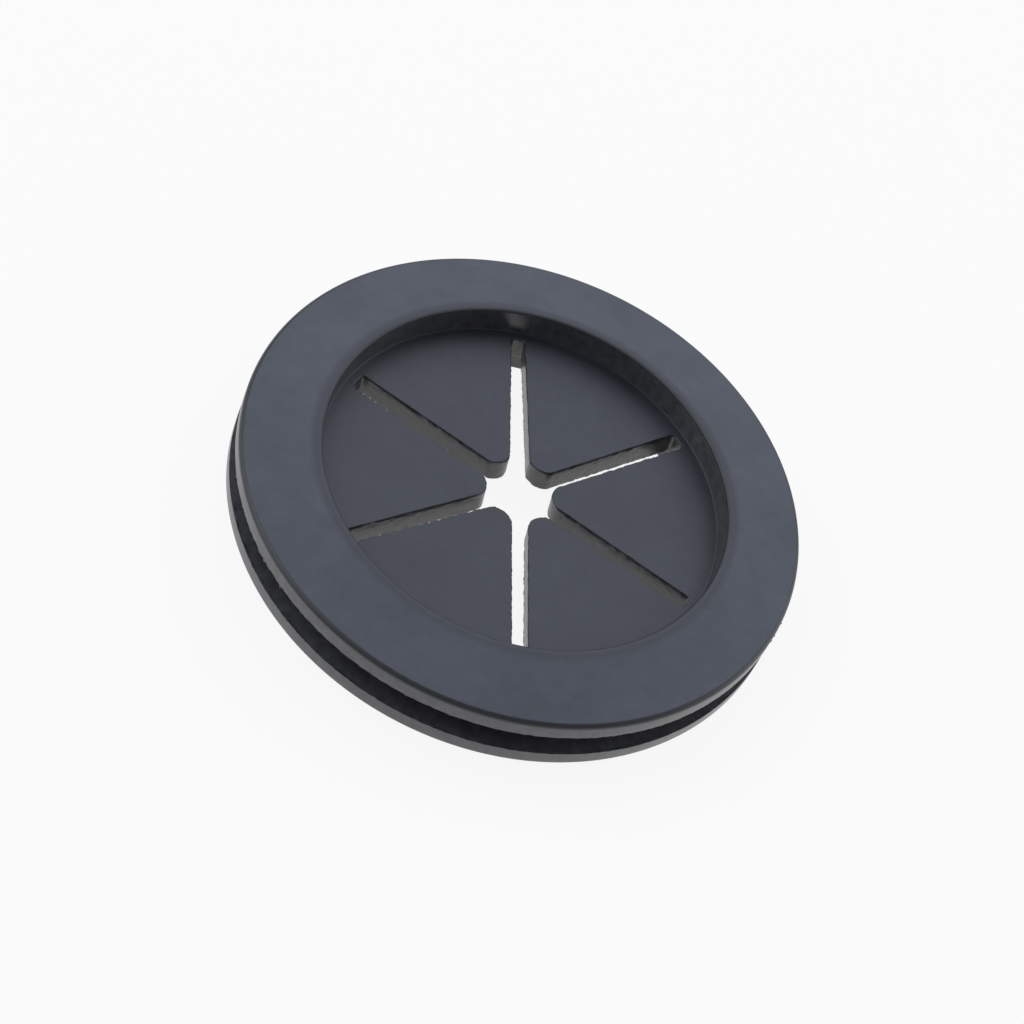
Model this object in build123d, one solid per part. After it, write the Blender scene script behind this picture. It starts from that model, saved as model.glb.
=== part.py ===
from build123d import *
import math
import os

# Rubber cable-entry grommet, moulded in one piece: two equal round flanges grip the edge of
# a round hole in a sheet, and a thin web with a six-slit star closes the middle, so that
# cables of several sizes push through it. The lower half mirrors the upper half.
#
# Frame: millimetres, +Z along the axis of the ring, the origin on that axis at the foot of
# the piece. The first slit runs along +X.

# What the grommet fits: a sheet with a round hole
sheet_thickness = 3.0       # width of the groove that takes the sheet
sheet_hole_radius = 25.0    # radius of the groove's root, which fills the hole
root_round = 0.3            # rounding in the groove's two inner corners

# The two flanges
flange_overlap = 5.0        # how far a flange reaches over the sheet beyond the hole
rim_thickness = 1.9         # a flange's thickness at its outer rim
rim_round = 0.8             # rounding of the rim's outer corner
face_rise = 1.1             # how much the face climbs from the rim to the seat ring

# The recess in each face, down to the web
sleeve_wall = 3.35          # from the groove's root to the recess wall
mouth_round = 0.8           # rounding of the recess's mouth
seat_width = 0.6            # flat ring beside the mouth, on which the piece lies
recess_corner_round = 0.3   # rounding where the recess wall meets the web

# The web and its star
web_thickness = 2.6
slit_count = 6
slit_width = 1.7
slit_margin = 1.0           # solid web left between a slit's end and the recess wall
slit_end_round = 0.3        # rounding in the corners of a slit's outer end
tip_round = 1.8             # radius of the rounded tip of each leaf between two slits

flange_radius = sheet_hole_radius + flange_overlap
recess_radius = sheet_hole_radius - sleeve_wall
slit_reach = recess_radius - slit_margin
seat_radius = recess_radius + mouth_round + seat_width
half_height = sheet_thickness / 2 + rim_thickness + face_rise
height = 2 * half_height


def upper_half():
    """The half above the mid-plane z = 0, without the star, turned from its half section."""
    groove_z = sheet_thickness / 2
    rim_z = groove_z + rim_thickness
    web_z = web_thickness / 2
    corners = [
        ((0, 0), 0),
        ((sheet_hole_radius, 0), 0),
        ((sheet_hole_radius, groove_z), root_round),
        ((flange_radius, groove_z), 0),
        ((flange_radius, rim_z), rim_round),
        ((seat_radius, half_height), 0),
        ((recess_radius, half_height), mouth_round),
        ((recess_radius, web_z), recess_corner_round),
        ((0, web_z), 0),
    ]
    points = [point for point, _ in corners]
    rounds = [radius for _, radius in corners]
    with BuildPart() as half:
        with BuildSketch(Plane.XZ):
            with BuildLine():
                FilletPolyline(*points, radius=rounds, close=True)
            make_face()
        revolve(axis=Axis.Z)
    return half.part


def star_cutter():
    """The void of the star: radial slits that end on one circle, with round leaf tips."""
    leaf_corner = slit_width / 2 / math.sin(math.pi / slit_count)
    with BuildPart() as cutter:
        with BuildSketch(Plane.XY.offset(-half_height)) as star:
            with PolarLocations(0, slit_count):
                Rectangle(2 * slit_reach, slit_width, align=(Align.MIN, Align.CENTER))
            Circle(slit_reach, mode=Mode.INTERSECT)
            inner = [v for v in star.vertices() if math.hypot(v.X, v.Y) < 2 * leaf_corner]
            fillet(inner, radius=tip_round)
            ends = [v for v in star.vertices() if math.hypot(v.X, v.Y) > 0.99 * slit_reach]
            fillet(ends, radius=slit_end_round)
        extrude(amount=height)
    return cutter.part


def build_grommet():
    """The whole moulding, standing on its lower seat ring."""
    top = upper_half()
    body = top + mirror(top, about=Plane.XY)
    body = body - star_cutter()
    return Pos(0, 0, half_height) * body


if __name__ == "__main__":
    os.makedirs("parts", exist_ok=True)
    grommet = build_grommet()
    grommet.label = "grommet"
    export_step(grommet, "parts/grommet.step")
    tip_distance = slit_width / 2 / math.sin(math.pi / slit_count) + tip_round * (
        1 / math.sin(math.pi / slit_count) - 1
    )
    print(f"outside diameter {2 * flange_radius:.1f} mm, height {height:.1f} mm")
    print(f"recess diameter {2 * recess_radius:.1f} mm, leaf tips {tip_distance:.2f} mm from the axis")
    print(f"volume {grommet.volume / 1000:.2f} cm3")
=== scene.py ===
# %% [markdown]
# # A cable grommet in moulded rubber
# A grommet lines a round hole in a sheet so that cables can pass without chafing. This one is
# a single moulding: two round flanges with a groove between them that grips the sheet, and a
# thin web in the middle, slit like a star, so that its leaves bend aside for cables of several
# sizes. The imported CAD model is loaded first. It fixes every size, and the lesson then models
# the same piece again with the small things that a mould and a press leave behind.

import math

import bpy
from mathutils import Matrix, Vector


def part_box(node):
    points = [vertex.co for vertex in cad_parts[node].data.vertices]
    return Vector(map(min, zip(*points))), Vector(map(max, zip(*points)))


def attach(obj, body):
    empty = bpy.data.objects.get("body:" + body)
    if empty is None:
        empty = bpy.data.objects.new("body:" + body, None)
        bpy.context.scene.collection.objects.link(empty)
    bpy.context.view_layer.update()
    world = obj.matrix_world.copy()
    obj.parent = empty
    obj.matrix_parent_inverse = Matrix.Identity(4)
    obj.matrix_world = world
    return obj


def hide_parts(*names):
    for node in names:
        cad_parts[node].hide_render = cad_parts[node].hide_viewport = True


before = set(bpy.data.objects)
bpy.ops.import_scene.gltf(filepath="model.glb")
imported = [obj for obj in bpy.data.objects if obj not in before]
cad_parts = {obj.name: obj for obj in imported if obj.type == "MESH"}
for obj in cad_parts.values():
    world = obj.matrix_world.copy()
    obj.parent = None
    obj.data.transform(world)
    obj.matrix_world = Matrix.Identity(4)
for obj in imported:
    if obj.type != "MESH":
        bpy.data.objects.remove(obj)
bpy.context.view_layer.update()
low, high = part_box("grommet")
print("CAD node grommet, mm:", [round(1000 * (b - a), 2) for a, b in zip(low, high)])

# %% [markdown]
# ## Sizes
# The flange's radius and the height come from the CAD box. The other sizes are those of the
# same drawing, in metres, because this script can't read it. The piece is the same above and
# below its middle, so one half of the section is enough. Round the recess's mouth runs a low
# bead, such as a mould's insert can leave. Its crest is the highest line of the piece.

# %% The sizes of the moulding
MM = 0.001
flange_radius = (high.x - low.x) / 2
height = high.z - low.z
middle = height / 2

groove_radius = 25.0 * MM      # fills the hole in the sheet
groove_top = middle + 1.5 * MM
rim_top = groove_top + 1.9 * MM
recess_radius = 21.65 * MM
lip_radius = 22.15 * MM        # the low bead round the recess is highest here
lip_low = height - 0.12 * MM   # its inner edge
bead_radius = 23.0 * MM        # its outer foot
bead_foot = height - 0.2 * MM
web_radius = 21.25 * MM        # where the flat web ends and the ring's section starts
web_top = middle + 1.3 * MM
slit_reach = 20.65 * MM        # a slit's outer end
wall_round = 0.12 * MM         # rounding where the recess's wall stands on the web
lip_round = 0.25 * MM          # and where it ends, at the bead
rim_round = 0.6 * MM
groove_round = 0.3 * MM

AROUND = 720                   # steps round the ring: 0.26 mm at the rim, fine enough for flash
LEAVES = 6
LEAF_ANGLE = 360 / LEAVES
print("flange radius", round(flange_radius / MM, 2), "mm, height", round(height / MM, 2), "mm")

# %% [markdown]
# ## The camera
# The piece is looked down on from the side of its last slits, and the camera leans to one
# side, so that the rim's near edge runs down to the right. A long lens keeps the flanges'
# ellipses nearly alike. Turning about Z, tipping about X and leaning about Z again is how a
# tripod head moves, so the camera's place is built from those three turns and a distance.

# %% Camera
view_azimuth = math.radians(-79.8)
view_elevation = math.radians(49.37)
view_lean = math.radians(25.81)
aim = Vector((0.07, 0.56, 1.56)) * MM
distance = 287.9 * MM

turn = (Matrix.Rotation(view_azimuth + math.pi / 2, 4, "Z")
        @ Matrix.Rotation(math.pi / 2 - view_elevation, 4, "X")
        @ Matrix.Rotation(view_lean, 4, "Z"))
bpy.ops.object.camera_add()
camera = bpy.context.active_object
camera.name = "camera"
camera.matrix_world = Matrix.Translation(aim) @ turn @ Matrix.Translation((0, 0, distance))
camera.data.sensor_width = 36
camera.data.lens = 96.8
camera.data.clip_start = 0.01
camera.data.clip_end = 20
camera.data.dof.use_dof = False
bpy.context.scene.camera = camera
print("camera at", [round(c / MM, 1) for c in camera.matrix_world.translation], "mm")

# %% [markdown]
# ## Helpers for modelling
# Every operator acts on what is selected, and the CAD node arrives selected. So each step
# deselects everything first and then picks vertices, edges or faces by their place.

# %% Helpers
def begin(name):
    """Names the new primitive and enters edit mode."""
    piece = bpy.context.active_object
    piece.name = piece.data.name = name
    bpy.ops.object.mode_set(mode="EDIT")
    return piece


def pick(piece, kind, wanted):
    """Selects the vertices, edges or faces whose corner points pass the test, in edit mode."""
    bpy.ops.object.mode_set(mode="OBJECT")
    mesh = piece.data
    for part in (mesh.vertices, mesh.edges, mesh.polygons):
        part.foreach_set("select", [False] * len(part))
    points = [v.co for v in mesh.vertices]
    count = 0
    if kind == "VERT":
        for v in mesh.vertices:
            v.select = wanted([v.co])
            count += v.select
    else:
        for part in mesh.edges if kind == "EDGE" else mesh.polygons:
            if wanted([points[i] for i in part.vertices]):
                part.select = True
                count += 1
                for i in part.vertices:
                    mesh.vertices[i].select = True
    bpy.ops.object.mode_set(mode="EDIT")
    bpy.ops.mesh.select_mode(type=kind)
    return count


def reach(point):
    return math.hypot(point.x, point.y)


def azimuth(point):
    return math.degrees(math.atan2(point.y, point.x)) % 360


def near(a, b, slack=2e-6):
    return abs(a - b) < slack


def apply_modifiers(piece):
    bpy.ops.object.select_all(action="DESELECT")
    piece.select_set(True)
    bpy.context.view_layer.objects.active = piece
    for modifier in list(piece.modifiers):
        bpy.ops.object.modifier_apply(modifier=modifier.name)


def report(piece):
    print(piece.name, len(piece.data.vertices), "vertices,", len(piece.data.polygons), "faces")


# %% [markdown]
# ## The ring
# The ring is the same all the way round, so it is a section turned about the axis. In Blender
# that is a chain of extruded points given its round corners by a vertex bevel, and then spun.
# It could also be a torus pushed into shape, but a section keeps each size given above.
# The groove's two outer edges get a shallow ridge each: it is the root of the flash, the thin
# skin that rubber leaves where the mould's plates meet, and a later step pulls it out.

# %% Draw the section
flash_start = 0.05 * MM        # the ridge's depth before it is pulled out
flash_root = (0.18 * MM, 0.28 * MM)    # where the ridge starts and ends, in from the rim
flash_tip = (0.06 * MM, 0.12 * MM)     # its two crests, in from the rim
upper_points = [
    (web_radius, web_top),
    (recess_radius, web_top),
    (recess_radius, lip_low),
    (lip_radius, height),
    (bead_radius, bead_foot),
    (flange_radius, rim_top),
    (flange_radius, groove_top),
    (flange_radius - flash_root[0], groove_top),
    (flange_radius - flash_tip[0], groove_top - flash_start),
    (flange_radius - flash_tip[1], groove_top - flash_start),
    (flange_radius - flash_root[1], groove_top),
    (groove_radius, groove_top),
]
section = upper_points + [(r, height - z) for r, z in reversed(upper_points)]

bpy.ops.object.select_all(action="DESELECT")
bpy.ops.mesh.primitive_plane_add(size=MM, location=(0, 0, 0))
ring = begin("moulding")
bpy.ops.mesh.select_mode(type="VERT")
bpy.ops.mesh.select_all(action="SELECT")
bpy.ops.mesh.merge(type="CENTER")
bpy.ops.mesh.select_all(action="SELECT")
bpy.ops.transform.translate(value=(section[0][0], 0, section[0][1]))
for (r0, z0), (r1, z1) in zip(section, section[1:]):
    bpy.ops.mesh.extrude_region_move(TRANSFORM_OT_translate={"value": (r1 - r0, 0, z1 - z0)})


def round_corner(r, z, radius, segments):
    """Rounds the section's corner at (r, z) and the one that mirrors it below the middle."""
    place = [Vector((r, 0, z)), Vector((r, 0, height - z))]
    found = pick(ring, "VERT", lambda ps: min((ps[0] - p).length for p in place) < 1e-6)
    i = next(k for k, p in enumerate(section) if near(p[0], r) and near(p[1], z))
    before = Vector(section[i - 1]) - Vector(section[i])
    after = Vector(section[i + 1]) - Vector(section[i])
    offset = radius / math.tan(before.angle(after) / 2)
    bpy.ops.mesh.bevel(offset=offset, segments=segments, affect="VERTICES")
    print("rounded", found, "corners to", round(radius / MM, 2), "mm")


round_corner(recess_radius, web_top, wall_round, 4)
round_corner(recess_radius, lip_low, lip_round, 6)
round_corner(flange_radius, rim_top, rim_round, 8)
round_corner(groove_radius, groove_top, groove_round, 4)

# %% [markdown]
# A turned or moulded ring has no seam. A revolve could be a Screw modifier as well, but a spin
# leaves plain vertices, which the next steps can pick by their place. The last copy of the
# section lands on the first, and merging by distance closes the ring.

# %% Spin the section
bpy.ops.mesh.select_all(action="SELECT")
bpy.ops.mesh.spin(steps=AROUND, angle=2 * math.pi, center=(0, 0, 0), axis=(0, 0, 1))
bpy.ops.mesh.select_all(action="SELECT")
bpy.ops.mesh.remove_doubles(threshold=1e-6)
bpy.ops.object.mode_set(mode="OBJECT")
report(ring)

# %% [markdown]
# ## The web and its star
# The web is a disc with six slits. No two are quite alike on this piece: each has its own
# direction, and its own width at the outer end and near the middle.
# The disc is bisected along the three lines through opposite slits, which gives six leaves,
# and then every leaf is trimmed along its two own sides. Cutting leaves rather than slits
# keeps the points where two slits meet exact.

# %% The six slits
# direction in degrees; width at the outer end and near the middle, mm
slits = [
    (-0.7, 1.60, 1.72),
    (61.6, 1.85, 1.75),
    (120.9, 1.50, 2.15),
    (179.2, 2.05, 1.95),
    (238.7, 1.56, 1.66),
    (300.1, 1.62, 1.75),
]
tip_round = 1.6 * MM
tip_profile = 0.4              # a little flatter than a circle, which is 0.5
end_round = 0.3 * MM
inner_reach = 3.0 * MM         # where the width near the middle is taken
tips_within = 4.0 * MM         # the leaves' tips lie nearer to the axis than this
near_by = 0.1 * MM             # how close to the slits' outer ends a point counts as on them
hair = 0.01 * MM               # how close to the web's rim or the flange's rim


def direction(degrees):
    return Vector((math.cos(math.radians(degrees)), math.sin(math.radians(degrees)), 0))


def slit_side(slit, side):
    """Two points of a slit's side; side is +1 for the side that is further round."""
    degrees, outer, inner = slit
    along, across = direction(degrees), direction(degrees + 90)
    return (along * inner_reach + across * (side * inner * MM / 2),
            along * slit_reach + across * (side * outer * MM / 2))


bpy.ops.object.select_all(action="DESELECT")
bpy.ops.mesh.primitive_circle_add(vertices=AROUND, radius=web_radius, fill_type="NGON",
                                  location=(0, 0, web_top))
web = begin("web")
bpy.ops.object.mode_set(mode="OBJECT")
bpy.ops.object.transform_apply(location=True, rotation=True, scale=True)
bpy.ops.object.mode_set(mode="EDIT")
for degrees in (0, LEAF_ANGLE, 2 * LEAF_ANGLE):
    bpy.ops.mesh.select_all(action="SELECT")
    bpy.ops.mesh.bisect(plane_co=(0, 0, web_top), plane_no=direction(degrees + 90),
                        threshold=1e-7)


def centre(points):
    return sum(points, Vector()) / len(points)


def in_leaf(k):
    return lambda ps: LEAF_ANGLE * k < azimuth(centre(ps)) < LEAF_ANGLE * (k + 1)


for k in range(LEAVES):
    for slit, side in ((slits[k], 1), (slits[(k + 1) % LEAVES], -1)):
        start, end = slit_side(slit, side)
        pick(web, "FACE", in_leaf(k))
        bpy.ops.mesh.bisect(plane_co=(start.x, start.y, web_top),
                            plane_no=Vector((0, 0, 1)).cross(end - start), threshold=1e-7)

        def in_slit(ps):
            c = centre(ps) - Vector((0, 0, web_top))
            inside = (c - start).cross(end - start).z * side > 0
            return inside and in_leaf(k)(ps)

        pick(web, "FACE", in_slit)
        bpy.ops.mesh.bisect(plane_co=direction(slit[0]) * slit_reach + Vector((0, 0, web_top)),
                            plane_no=direction(slit[0]), threshold=1e-7)
        gone = pick(web, "FACE", lambda ps: in_slit(ps)
                    and centre(ps).dot(direction(slit[0])) < slit_reach)
        bpy.ops.mesh.delete(type="FACE")
        print("leaf", k, "side", side, "trimmed,", gone, "face gone")

# %% [markdown]
# Two slits meet in a sharp point, which rubber would tear from, so the real leaves end in a
# rounded tip and the slits in small round corners. Both are vertex bevels on the flat web,
# because there they are only two edges meeting. The strips left between a slit's end and the
# ring are joined to their leaf first.

# %% Round the tips and the slits' ends
circle_step = 360 / AROUND


def off_step(point, step):
    """How far a point's azimuth lies from a whole number of steps, in steps."""
    steps = azimuth(point) / step
    return abs(steps - round(steps))


pick(web, "EDGE", lambda ps: max(map(reach, ps)) > web_radius - hair
     and min(map(reach, ps)) < web_radius - 0.3 * MM
     and off_step(centre(ps), LEAF_ANGLE) > 1e-4)
bpy.ops.mesh.dissolve_edges(use_verts=False)
pick(web, "VERT", lambda ps: reach(ps[0]) > web_radius - hair
     and off_step(ps[0], circle_step) > 0.01)
bpy.ops.mesh.dissolve_verts()
tips = pick(web, "VERT", lambda ps: reach(ps[0]) < tips_within)
bpy.ops.mesh.bevel(offset=tip_round / math.tan(math.radians(LEAF_ANGLE / 2)), segments=12,
                   affect="VERTICES", profile=tip_profile)
ends = pick(web, "VERT", lambda ps: abs(reach(ps[0]) - slit_reach) < near_by
            and off_step(ps[0], LEAF_ANGLE) > 2e-3)
bpy.ops.mesh.bevel(offset=end_round, segments=4, affect="VERTICES")
print(tips, "tips and", ends, "end corners rounded")

# %% [markdown]
# A long straight side can't be ragged until it has points along it. The sides are divided at
# the ring's own step, and what the bisecting left across the leaves is dissolved, so that
# each leaf is one flat face with nothing in it that could catch the light.

# %% Divide the slits' sides
side_step = 0.26 * MM
long_side = 10 * MM


def length(points):
    return (points[0] - points[1]).length


sides = pick(web, "EDGE", lambda ps: length(ps) > long_side)
bpy.ops.mesh.subdivide(number_cuts=int((slit_reach - tips_within) / side_step))
pick(web, "EDGE", lambda ps: length(ps) > side_step
     and abs(reach(centre(ps)) - slit_reach) < near_by)
bpy.ops.mesh.subdivide(number_cuts=2)


def inside_leaf(points):
    """True for an edge that crosses a leaf; the short joins beside the slits stay."""
    if length(points) < side_step * 1.5 and min(map(reach, points)) < slit_reach:
        return False
    if min(map(reach, points)) > web_radius - hair:
        return False
    middle_point = centre(points)
    return (off_step(middle_point, LEAF_ANGLE) > 1e-3
            or reach(middle_point) < slit_reach - 2 * near_by)


crossings = pick(web, "EDGE", inside_leaf)
bpy.ops.mesh.dissolve_edges(use_verts=False)
bpy.ops.object.mode_set(mode="OBJECT")
print(sides, "sides divided,", crossings, "edges across the leaves dissolved")
report(web)

# %% [markdown]
# The flat web is now extruded down to its real thickness, which also makes the slits' walls.
# The extrusion walls in the outer circle too, and that wall goes, because the ring joins there.
# A cut or moulded rubber edge is never sharp: it is rounded by a tenth or two of a millimetre.

# %% Thicken the web and round its edges
cut_edge_round = 0.14 * MM
star_lean = 0.32 * MM          # how far the star's lower outline lies off its upper one

bpy.ops.object.mode_set(mode="EDIT")
bpy.ops.mesh.select_mode(type="FACE")
bpy.ops.mesh.select_all(action="SELECT")
bpy.ops.mesh.extrude_region_move(
    TRANSFORM_OT_translate={"value": (0, 0, 2 * (middle - web_top))})
pick(web, "FACE", lambda ps: min(map(reach, ps)) > web_radius - hair)
bpy.ops.mesh.delete(type="FACE")
pick(web, "VERT", lambda ps: ps[0].z < middle and reach(ps[0]) < web_radius - 0.2 * MM)
bpy.ops.transform.translate(value=(star_lean, 0, 0))
bpy.ops.mesh.select_all(action="SELECT")
bpy.ops.mesh.normals_make_consistent(inside=False)
bpy.ops.mesh.select_all(action="DESELECT")
bpy.ops.mesh.select_mode(type="EDGE")
bpy.ops.mesh.edges_select_sharp(sharpness=math.radians(60))
bpy.ops.mesh.bevel(offset=cut_edge_round, segments=3, affect="EDGES")
uprights = pick(web, "EDGE", lambda ps: abs(ps[0].z - ps[1].z) > web_top - middle)
bpy.ops.mesh.subdivide(number_cuts=8)
bpy.ops.object.mode_set(mode="OBJECT")
print(uprights, "upright edges of the slits' walls divided")
report(web)

# %% [markdown]
# Ring and web are one shot of rubber. They meet where the flat web passes into the ring's
# section, point on point, so joining the two objects and merging by distance welds them. An
# open edge left over would show a mistake, so they are counted.

# %% Join the web to the ring
bpy.ops.object.select_all(action="DESELECT")
web.select_set(True)
ring.select_set(True)
bpy.context.view_layer.objects.active = ring
bpy.ops.object.join()
moulding = ring
bpy.ops.object.mode_set(mode="EDIT")
bpy.ops.mesh.select_mode(type="VERT")
bpy.ops.mesh.select_all(action="SELECT")
bpy.ops.mesh.remove_doubles(threshold=3e-6)
bpy.ops.mesh.select_all(action="SELECT")
bpy.ops.mesh.normals_make_consistent(inside=False)
bpy.ops.mesh.select_all(action="DESELECT")
bpy.ops.mesh.select_non_manifold()
bpy.ops.object.mode_set(mode="OBJECT")
moulding.matrix_world = Matrix.Identity(4)
print("open edges left:", sum(e.select for e in moulding.data.edges))
report(moulding)

# %% [markdown]
# ## Flash and ragged edges
# Where the plates of a mould meet, a skin of rubber a few hundredths of a millimetre thick
# creeps out. On this piece it hangs from the groove's outer edges as torn slivers, a few crumbs
# of it stand out from the lower rim, and the slits' edges are a little nibbled. All are
# displacements by a noise, limited to a vertex group, so that every flat face stays flat.
# Separate slivers could be strewn instead, but then they would hang in the air. The price is
# at the crumbs: the rim's side below them is pulled along, and looks pleated from close by.

# %% Ragged details
def vertex_group(name, weigh):
    """A vertex group that holds every vertex whose weight isn't nought."""
    group = moulding.vertex_groups.new(name=name)
    count = 0
    for v in moulding.data.vertices:
        weight = weigh(v.co)
        if weight > 0:
            group.add([v.index], min(weight, 1), "REPLACE")
            count += 1
    print(name, count, "vertices")
    return group.name


def rough(name, weigh, size, depth, way, level=0.5):
    """Displaces a group of vertices by a noise of that size, as deep as depth."""
    noise = bpy.data.textures.new(name, "CLOUDS")
    noise.noise_scale = size
    noise.noise_depth = 2
    bump = moulding.modifiers.new(name, "DISPLACE")
    bump.texture = noise
    bump.texture_coords = "LOCAL"
    bump.vertex_group = vertex_group(name, weigh)
    bump.direction = way
    bump.strength = depth
    bump.mid_level = level


def hump(degrees, middle_at, half_width):
    """1 at an azimuth, falling to 0 at half_width degrees from it."""
    apart = abs((degrees - middle_at + 180) % 360 - 180)
    return max(0, 1 - apart / half_width) ** 0.5


def on_crest(point):
    """True at the radius of the flash's two crests, whatever the height."""
    return (flange_radius - flash_tip[1] - hair < reach(point)
            < flange_radius - flash_tip[0] + hair)


def on_flash(point, z):
    return near(point.z, z, 1e-5) and on_crest(point)


def upper_flash(point):
    if not on_flash(point, groove_top - flash_start):
        return 0
    round_at = azimuth(point)
    return 0.45 + 0.55 * max(hump(round_at, 225, 45), 0.8 * hump(round_at, 20, 50))


def lower_flash(point):
    return 0.5 if on_flash(point, height - groove_top + flash_start) else 0


def in_slit_wall(point):
    """Most at the wall's upper and lower edge, where the rubber is nibbled."""
    from_middle = abs(point.z - middle) / (web_top - middle)
    on_face = from_middle > 0.9999
    if on_face or reach(point) > slit_reach + 0.5 * MM:
        return 0
    return 0.25 + 0.75 * from_middle ** 3


def rim_edge(point):
    return (reach(point) > flange_radius - hair
            and abs(abs(point.z - middle) - (groove_top - middle)) < 1e-5)


def rim_nibs(point):
    """A few crumbs of flash that stand out from the lower rim."""
    return rim_edge(point) * (point.z < middle) * hump(azimuth(point), 13, 8)


rough("upper_flash", upper_flash, 0.5 * MM, -1.5 * MM, "Z", 0.42)
rough("lower_flash", lower_flash, 0.6 * MM, 1.2 * MM, "Z", 0.5)
rough("slit_walls", in_slit_wall, 0.3 * MM, 0.25 * MM, "NORMAL")
rough("rim_nibs", rim_nibs, 0.5 * MM, 3.0 * MM, "NORMAL", 0.4)
rough("rim_edges", rim_edge, 0.35 * MM, 0.26 * MM, "Z")
apply_modifiers(moulding)

# Crumbs are cut off at the flange's width along X, so that the piece keeps its box; between
# the axes they stand past the rim's circle. Flash never sinks into its own flange.
flash_least = 0.02 * MM        # what shows of it where the noise would draw it in
flash_most = 1.2 * MM
flash_sunk = 0.5 * MM
for v in moulding.data.vertices:
    v.co.x = min(v.co.x, flange_radius)
    if on_crest(v.co):
        below_upper = groove_top - v.co.z
        above_lower = v.co.z - (height - groove_top)
        if -flash_sunk < below_upper < flash_most:
            v.co.z = min(v.co.z, groove_top - flash_least)
        elif -flash_sunk < above_lower < flash_most:
            v.co.z = max(v.co.z, height - groove_top + flash_least)
bpy.ops.object.shade_smooth_by_angle(angle=math.radians(45))
weighted = moulding.modifiers.new("weighted", "WEIGHTED_NORMAL")
weighted.keep_sharp = True
apply_modifiers(moulding)
report(moulding)

# %% [markdown]
# ## The rubber
# The piece is compression-moulded EPDM or nitrile rubber filled with carbon black. To the eye
# that is a black which is really a cool dark grey, matt but never dull: it returns a wide soft
# highlight. The mould's plates give it a very fine grain, handling leaves hair scuffs that
# cross each other, and wax that blooms to the surface clouds the colour a little. All of it is
# one procedural material on Object coordinates. A painted texture could hold the same marks,
# but noises keep their real size in millimetres on every face.

# %% Colours and the node helper
def linear(hex_colour, alpha=1.0):
    """An sRGB hex colour as the linear colour that Blender's sockets take."""
    channels = [int(hex_colour[i:i + 2], 16) / 255 for i in (1, 3, 5)]
    lit = [c / 12.92 if c <= 0.04045 else ((c + 0.055) / 1.055) ** 2.4 for c in channels]
    return lit + [alpha]


def add(material, kind, settings=None, links=None):
    """Adds a node, sets its properties and sockets, and links sockets to it."""
    tree = material.node_tree
    node = tree.nodes.new(kind)
    for key, value in (settings or {}).items():
        if isinstance(key, str) and hasattr(node, key):
            setattr(node, key, value)
        else:
            node.inputs[key].default_value = value
    for key, source in (links or {}).items():
        tree.links.new(source, node.inputs[key])
    return node


def start_material(name):
    material = bpy.data.materials.new(name)
    material.use_nodes = True
    material.node_tree.nodes.clear()
    return material


# %% Moulded rubber
rubber = start_material("moulded_epdm_rubber")
place = add(rubber, "ShaderNodeTexCoord").outputs["Object"]
bloom = add(rubber, "ShaderNodeTexNoise", {"Scale": 1 / (9 * MM), "Detail": 7, "Roughness": 0.78},
            {"Vector": place})
nibbled = add(rubber, "ShaderNodeTexNoise",
              {"Scale": 1 / (1.1 * MM), "Detail": 4, "Roughness": 0.65}, {"Vector": place})
apart = add(rubber, "ShaderNodeSeparateXYZ", links={0: place})
outward = add(rubber, "ShaderNodeVectorMath", {"operation": "LENGTH"},
              {0: add(rubber, "ShaderNodeCombineXYZ",
                      links={0: apart.outputs["X"], 1: apart.outputs["Y"]}).outputs[0]})
on_flange = add(rubber, "ShaderNodeMapRange",
                {"From Min": lip_radius + 0.3 * MM, "From Max": bead_radius + 0.1 * MM},
                {"Value": outward.outputs["Value"]})
upright = add(rubber, "ShaderNodeSeparateXYZ",
              links={0: add(rubber, "ShaderNodeNewGeometry").outputs["Normal"]})
tilt = add(rubber, "ShaderNodeMath", {"operation": "ABSOLUTE"}, {0: upright.outputs["Z"]})
above_middle = add(rubber, "ShaderNodeMath", {"operation": "SUBTRACT", 1: middle},
                   {0: apart.outputs["Z"]})
off_middle = add(rubber, "ShaderNodeMath", {"operation": "ABSOLUTE"},
                 {0: above_middle.outputs[0]})
half_groove = groove_top - middle
beyond_groove = add(rubber, "ShaderNodeMapRange",
                    {"From Min": half_groove + 0.1 * MM, "From Max": half_groove + 0.3 * MM},
                    {"Value": off_middle.outputs[0]})
within_ring = add(rubber, "ShaderNodeMapRange",
                  {"From Min": groove_radius - 1.5 * MM, "From Max": groove_radius - MM,
                   "To Min": 1.0, "To Max": 0.0},
                  {"Value": outward.outputs["Value"]})
# The groove takes the upright sides' paler tone, painted light where it lies in shade.
not_groove = add(rubber, "ShaderNodeMath", {"operation": "MAXIMUM"},
                 {0: beyond_groove.outputs[0], 1: within_ring.outputs[0]})
level = add(rubber, "ShaderNodeMapRange", {"From Min": 0.93, "From Max": 0.985},
            {"Value": tilt.outputs[0]})
flat = add(rubber, "ShaderNodeMath", {"operation": "MINIMUM"},
           {0: level.outputs[0], 1: not_groove.outputs[0]})
# Rounded edges, between upright and level, are painted near black as painted shade.
leaning = add(rubber, "ShaderNodeMapRange", {"From Min": 0.06, "From Max": 0.34},
              {"Value": tilt.outputs[0]})
painted_shade_on_rounds = add(rubber, "ShaderNodeMath", {"operation": "MINIMUM"},
                   {0: leaning.outputs[0], 1: not_groove.outputs[0]})


def clouded(dark, pale, cloud):
    """A colour that a noise shifts between two hex colours."""
    ramp = add(rubber, "ShaderNodeValToRGB", links={"Fac": cloud.outputs["Fac"]})
    for stop, position, colour in zip(ramp.color_ramp.elements, (0.35, 0.68), (dark, pale)):
        stop.position = position
        stop.color = linear(colour)
    return ramp.outputs["Color"]
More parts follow.
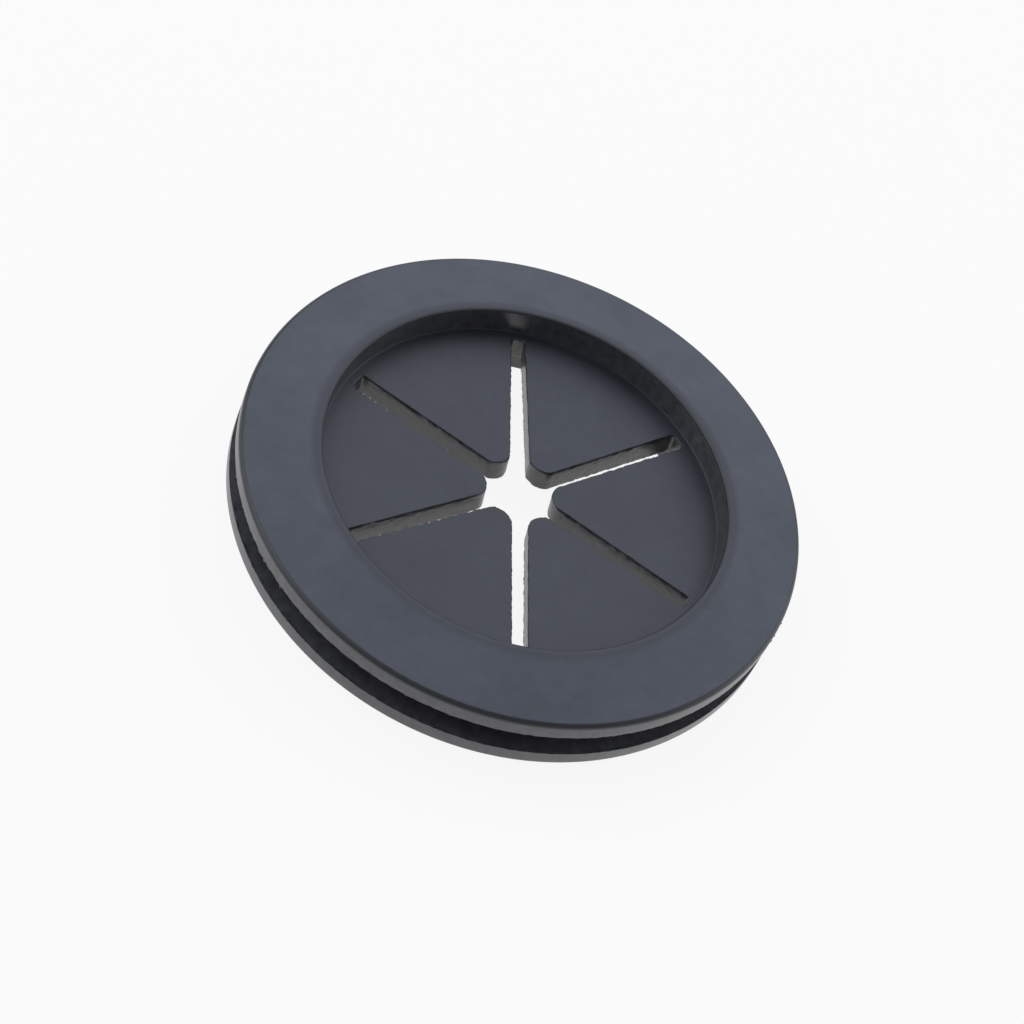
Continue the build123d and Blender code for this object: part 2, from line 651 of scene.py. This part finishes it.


# The face is paler than the sunk web. Upright sides are painted a paler warm grey, a painted
# reflection of the white floor, and rounded edges are painted the blackest, as painted shade.
faces = add(rubber, "ShaderNodeMix", {"data_type": "RGBA"},
            {0: on_flange.outputs[0],
             6: clouded("#20242b", "#2e323a", bloom), 7: clouded("#353a43", "#474c56", bloom)})
# Upright sides: paler warm grey, a painted floor reflection; rounded edges: painted shade.
edges = add(rubber, "ShaderNodeMix", {"data_type": "RGBA"},
            {0: painted_shade_on_rounds.outputs[0],
             6: clouded("#404042", "#575757", nibbled), 7: clouded("#1c1d21", "#202226", bloom)})
clean = add(rubber, "ShaderNodeMix", {"data_type": "RGBA"},
            {0: flat.outputs[0], 6: edges.outputs[2], 7: faces.outputs[2]})


def hair_scuffs(degrees, width, length):
    """Lines of that width and length that lie across the piece in one direction."""
    turned = add(rubber, "ShaderNodeMapping",
                 {"Rotation": (0, 0, math.radians(degrees)),
                  "Scale": (1 / length, 1 / width, 1 / width)}, {"Vector": place})
    lines = add(rubber, "ShaderNodeTexNoise", {"Scale": 1.0, "Detail": 2, "Roughness": 0.7},
                {"Vector": turned.outputs[0]})
    return add(rubber, "ShaderNodeMapRange", {"From Min": 0.62, "From Max": 0.9},
               {"Value": lines.outputs["Fac"]}).outputs[0]


# Real hair scuffs are some 0.02 mm wide; these are drawn 0.16 mm wide so that they show.
scuffs = add(rubber, "ShaderNodeMath", {"operation": "MAXIMUM"},
             {0: hair_scuffs(38, 0.16 * MM, 2.6 * MM), 1: hair_scuffs(-52, 0.16 * MM, 2.2 * MM)})
patches = add(rubber, "ShaderNodeTexNoise", {"Scale": 1 / (5 * MM), "Detail": 2},
              {"Vector": place})
scuffed_here = add(rubber, "ShaderNodeMath", {"operation": "MULTIPLY"},
                   {0: scuffs.outputs[0], 1: patches.outputs["Fac"]})
colour = add(rubber, "ShaderNodeMix", {"data_type": "RGBA"},
             {0: scuffed_here.outputs[0],
              6: clean.outputs[2], 7: clouded("#444953", "#4e535d", bloom)})
grain = add(rubber, "ShaderNodeTexNoise",
            {"Scale": 1 / (0.35 * MM), "Detail": 3, "Roughness": 0.6}, {"Vector": place})
grain_bump = add(rubber, "ShaderNodeBump", {"Strength": 0.5, "Distance": 0.02 * MM},
                 {"Height": grain.outputs["Fac"]})
gloss = add(rubber, "ShaderNodeMapRange", {"From Min": 0.2, "From Max": 0.8,
                                           "To Min": 0.3, "To Max": 0.5},
            {"Value": tilt.outputs[0]})
body = add(rubber, "ShaderNodeBsdfPrincipled", {"IOR": 1.52, "Specular IOR Level": 0.75},
           {"Base Color": colour.outputs[2], "Roughness": gloss.outputs[0],
            "Normal": grain_bump.outputs["Normal"]})
add(rubber, "ShaderNodeOutputMaterial", links={"Surface": body.outputs["BSDF"]})
moulding.data.materials.clear()
moulding.data.materials.append(rubber)
print("material", rubber.name, "with", len(rubber.node_tree.nodes), "nodes")

# %% [markdown]
# ## Floor
# The piece lies on a white sheet. Plain paper lit by lamps comes out grey or burnt out, so the
# sheet glows at just white to the camera and in reflections, and a tenth of what they see of
# it is lit paper: enough for a faint shadow round the piece. Light that the sheet scatters on
# to the piece comes from plain paper alone.

# %% Floor
bpy.ops.object.select_all(action="DESELECT")
bpy.ops.mesh.primitive_plane_add(size=6, location=(0, 0, -0.02 * MM))
floor = bpy.context.active_object
floor.name = "floor"
bpy.ops.object.transform_apply(location=True, rotation=True, scale=True)
paper = start_material("white_paper")
rays = add(paper, "ShaderNodeLightPath")
mirrored = add(paper, "ShaderNodeMath", {"operation": "MAXIMUM"},
               {0: rays.outputs["Is Camera Ray"], 1: rays.outputs["Is Glossy Ray"]})
seen = add(paper, "ShaderNodeMath", {"operation": "MAXIMUM"},
           {0: mirrored.outputs[0], 1: rays.outputs["Is Transmission Ray"]})
plain = add(paper, "ShaderNodeBsdfDiffuse", {"Color": linear("#f4f4f2")})
glow = add(paper, "ShaderNodeEmission", {"Color": linear("#ffffff"), "Strength": 1.0})
share = add(paper, "ShaderNodeMath", {"operation": "MULTIPLY", 1: 0.9}, {0: seen.outputs[0]})
lit = add(paper, "ShaderNodeMixShader",
          links={0: share.outputs[0], 1: plain.outputs[0], 2: glow.outputs[0]})
add(paper, "ShaderNodeOutputMaterial", links={"Surface": lit.outputs[0]})
floor.data.materials.append(paper)
print("floor", [round(side, 1) for side in floor.dimensions], "m")

# %% [markdown]
# ## World and lamps
# A dim cool sky fills the shadows, and the camera sees it as white. A large soft box stands
# behind the piece, so that the top face returns it as a slate grey sheen, one on the left
# lights the long side of the groove, and a low one on the far right clears the rim's end. The
# side towards the camera has none, which draws the rounded rim there as a dark line; the
# rubber's painted shade on rounded edges deepens it.

# %% World
world = bpy.data.worlds.new("studio")
bpy.context.scene.world = world
world.use_nodes = True
world.node_tree.nodes.clear()
rays = add(world, "ShaderNodeLightPath")
dim = add(world, "ShaderNodeBackground", {"Color": linear("#e8ecf4"), "Strength": 0.3})
white = add(world, "ShaderNodeBackground", {"Color": linear("#ffffff"), "Strength": 1.0})
sky = add(world, "ShaderNodeMixShader",
          links={0: rays.outputs["Is Camera Ray"], 1: dim.outputs[0], 2: white.outputs[0]})
add(world, "ShaderNodeOutputWorld", links={"Surface": sky.outputs[0]})
print("world", world.name, "with", len(world.node_tree.nodes), "nodes")


# %% Lamps
def soft_box(name, azimuth_degrees, elevation_degrees, away, size, radiance, colour):
    """An area lamp that faces the piece. Its power follows from its brightness and its size."""
    bpy.ops.object.light_add(type="AREA")
    lamp = bpy.context.active_object
    lamp.name = name
    lamp.data.shape = "SQUARE"
    lamp.data.size = size
    lamp.data.energy = radiance * math.pi * size * size
    lamp.data.color = linear(colour)[:3]
    lamp.matrix_world = (Matrix.Rotation(math.radians(azimuth_degrees) + math.pi / 2, 4, "Z")
                         @ Matrix.Rotation(math.pi / 2 - math.radians(elevation_degrees), 4, "X")
                         @ Matrix.Translation((0, 0, away)))
    print(name, round(lamp.data.energy, 1), "W")


soft_box("back_box", 105, 45, 1.2, 1.3, 1.15, "#e9efff")
soft_box("left_box", 195, 38, 1.2, 1.1, 1.75, "#eef2ff")
soft_box("right_box", 42, 17, 1.2, 0.9, 1.7, "#eef2ff")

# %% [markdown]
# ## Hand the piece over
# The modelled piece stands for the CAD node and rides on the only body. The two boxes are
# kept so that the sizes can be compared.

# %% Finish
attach(moulding, "root")
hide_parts("grommet")
bpy.context.scene.view_settings.view_transform = "Standard"
